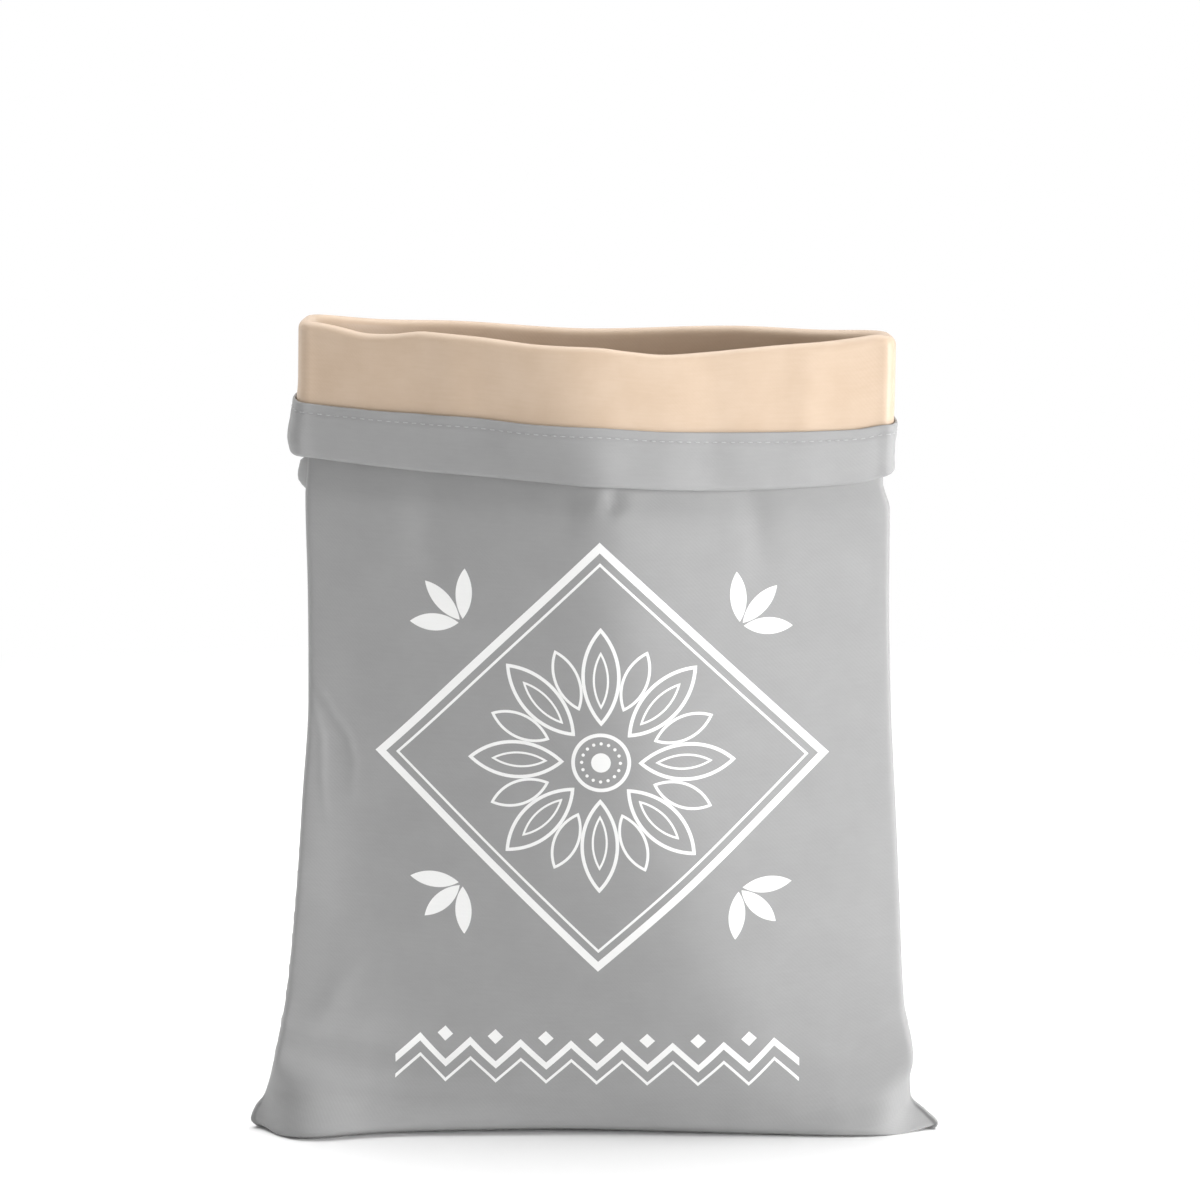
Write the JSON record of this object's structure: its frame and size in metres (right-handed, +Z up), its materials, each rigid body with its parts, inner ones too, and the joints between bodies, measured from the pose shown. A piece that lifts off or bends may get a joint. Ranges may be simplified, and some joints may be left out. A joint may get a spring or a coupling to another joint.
{
  "type": "bread bag",
  "caption": "Open cloth bread bag standing upright, its mouth turned down as a cuff that shows the waxed lining and a hem band.",
  "frame": {"origin": "middle of the bag's box in plan, on the surface that it stands on", "axes": "+Z up, -Y towards the front panel, +X to the right seen from the front"},
  "size_m": [0.3018, 0.1366, 0.3535],
  "materials": {
    "outer_cloth": "matte",
    "waxed_lining": "satin"
  },
  "bodies": {
    "root": {"outer_front_panel": "outer_cloth", "outer_back_panel": "outer_cloth", "lining_front_panel": "waxed_lining", "lining_back_panel": "waxed_lining"}
  },
  "joints": []
}
